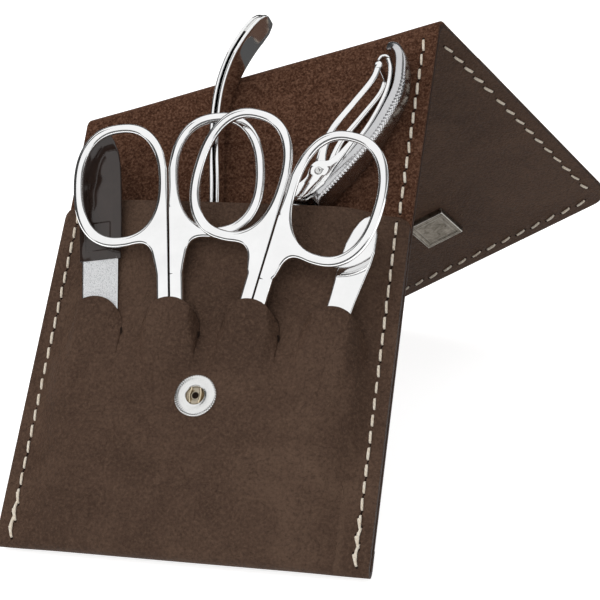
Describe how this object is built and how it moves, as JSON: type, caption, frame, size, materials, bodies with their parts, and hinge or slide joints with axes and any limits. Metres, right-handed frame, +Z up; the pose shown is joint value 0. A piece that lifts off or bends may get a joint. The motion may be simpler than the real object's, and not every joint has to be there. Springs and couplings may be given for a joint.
{
  "type": "manicure set case",
  "caption": "Pocket-sized leather manicure set case standing open as a tent, with slits that hold scissors, file, pusher, tweezers and clipper, and a fold-over flap with press stud",
  "frame": {"origin": "centre of the bounding box on the surface that the case stands on", "axes": "+Z up, the case leans back and its front panel faces -Y and up, +X to the right seen from the front"},
  "size_m": [0.1168, 0.15, 0.1039],
  "materials": {
    "leather": "smooth, fine grain",
    "suede": "matt suede",
    "thread": "waxed thread",
    "steel": "polished",
    "brushed": "fine grain",
    "plastic": "gloss",
    "antique": "antique silver plate"
  },
  "bodies": {
    "case": {"leather_front": "leather", "leather_back": "leather", "lining_case": "suede", "socket_ring": "steel", "socket_spring": "steel", "socket_post": "steel", "ridge_leather": "leather", "ridge_lining": "suede", "stitching_left": "thread", "stitching_right": "thread"},
    "flap_root": {"leather_flap_root": "leather", "lining_flap_root": "suede", "stitching_flap_root": "thread"},
    "flap_spine": {"leather_flap_spine": "leather", "lining_flap_spine": "suede", "stitching_flap_spine": "thread"},
    "flap_end": {"leather_flap_end": "leather", "lining_flap_end": "suede", "stud": "steel", "badge": "antique", "stitching_flap_end": "thread"},
    "file": {"file_blade": "brushed", "file_handle": "plastic"},
    "nail_scissors": {"nail_half_fixed": "steel", "nail_screw": "steel"},
    "nail_scissors_moving": {"nail_half_moving": "steel"},
    "cuticle_scissors": {"cuticle_half_fixed": "steel", "cuticle_screw": "steel"},
    "cuticle_scissors_moving": {"cuticle_half_moving": "steel"},
    "pusher": {"cuticle_pusher": "steel"},
    "tweezers": {"tweezers_arm_left": "steel", "tweezers_weld": "steel"},
    "tweezers_right": {"tweezers_arm_right": "steel"},
    "clipper": {"clipper_shell": "steel", "clipper_strip": "steel", "clipper_hook": "steel"},
    "clipper_lever": {"clipper_rails": "steel", "clipper_jaw": "steel", "clipper_pin": "steel"}
  },
  "joints": [
    {"name": "flap_swing", "type": "hinge", "parent": "case", "child": "flap_root", "pos_m": [-0.05758, 0.00089, 0.07887], "axis": [-0.9498, -0.2127, -0.2294], "range_deg": [-102, 45], "deforming": ["ridge_leather", "ridge_lining"]},
    {"name": "flap_fold_1", "type": "hinge", "parent": "flap_root", "child": "flap_spine", "pos_m": [-0.00796, 0.02389, 0.07673], "axis": [-0.8818, -0.0196, -0.4713], "range_deg": [-90, 0]},
    {"name": "flap_fold_2", "type": "hinge", "parent": "flap_spine", "child": "flap_end", "pos_m": [0.00101, 0.0394, 0.05929], "axis": [-0.8818, -0.0196, -0.4713], "range_deg": [-90, 0]},
    {"name": "file_slide", "type": "slide", "parent": "case", "child": "file", "axis": [-0.1508, 0.6111, 0.7771], "range_m": [0, 0.06]},
    {"name": "nail_slide", "type": "slide", "parent": "case", "child": "nail_scissors", "axis": [-0.143, 0.5642, 0.8132], "range_m": [0, 0.06]},
    {"name": "nail_open", "type": "hinge", "parent": "nail_scissors", "child": "nail_scissors_moving", "pos_m": [-0.02244, -0.04473, 0.04192], "axis": [-0.0201, 0.8198, -0.5723], "range_deg": [0, 15]},
    {"name": "cuticle_slide", "type": "slide", "parent": "case", "child": "cuticle_scissors", "axis": [0.216, 0.4826, 0.8488], "range_m": [0, 0.06]},
    {"name": "cuticle_open", "type": "hinge", "parent": "cuticle_scissors", "child": "cuticle_scissors_moving", "pos_m": [-0.00571, -0.04478, 0.04228], "axis": [0.0495, 0.8628, -0.5031], "range_deg": [0, 20]},
    {"name": "pusher_slide", "type": "slide", "parent": "case", "child": "pusher", "axis": [0.2089, 0.6038, 0.7692], "range_m": [0, 0.06]},
    {"name": "tweezers_slide", "type": "slide", "parent": "case", "child": "tweezers", "axis": [-0.0929, 0.677, 0.7301], "range_m": [0, 0.07]},
    {"name": "tweezers_open", "type": "hinge", "parent": "tweezers", "child": "tweezers_right", "pos_m": [-0.01379, 0.01376, 0.10202], "axis": [0, -0.7333, 0.6799], "range_deg": [0, 3], "stiffness_Nm_per_rad": 0.5},
    {"name": "clipper_slide", "type": "slide", "parent": "case", "child": "clipper", "axis": [0, 0.6799, 0.7333], "range_m": [0, 0.025]},
    {"name": "clipper_lever", "type": "hinge", "parent": "clipper", "child": "clipper_lever", "pos_m": [0.00701, -0.01452, 0.07151], "axis": [0, -0.7333, 0.6799], "range_deg": [0, 35]}
  ],
  "couplings": [
    {"joint": "flap_fold_2", "follows": "flap_fold_1", "ratio": 1}
  ]
}
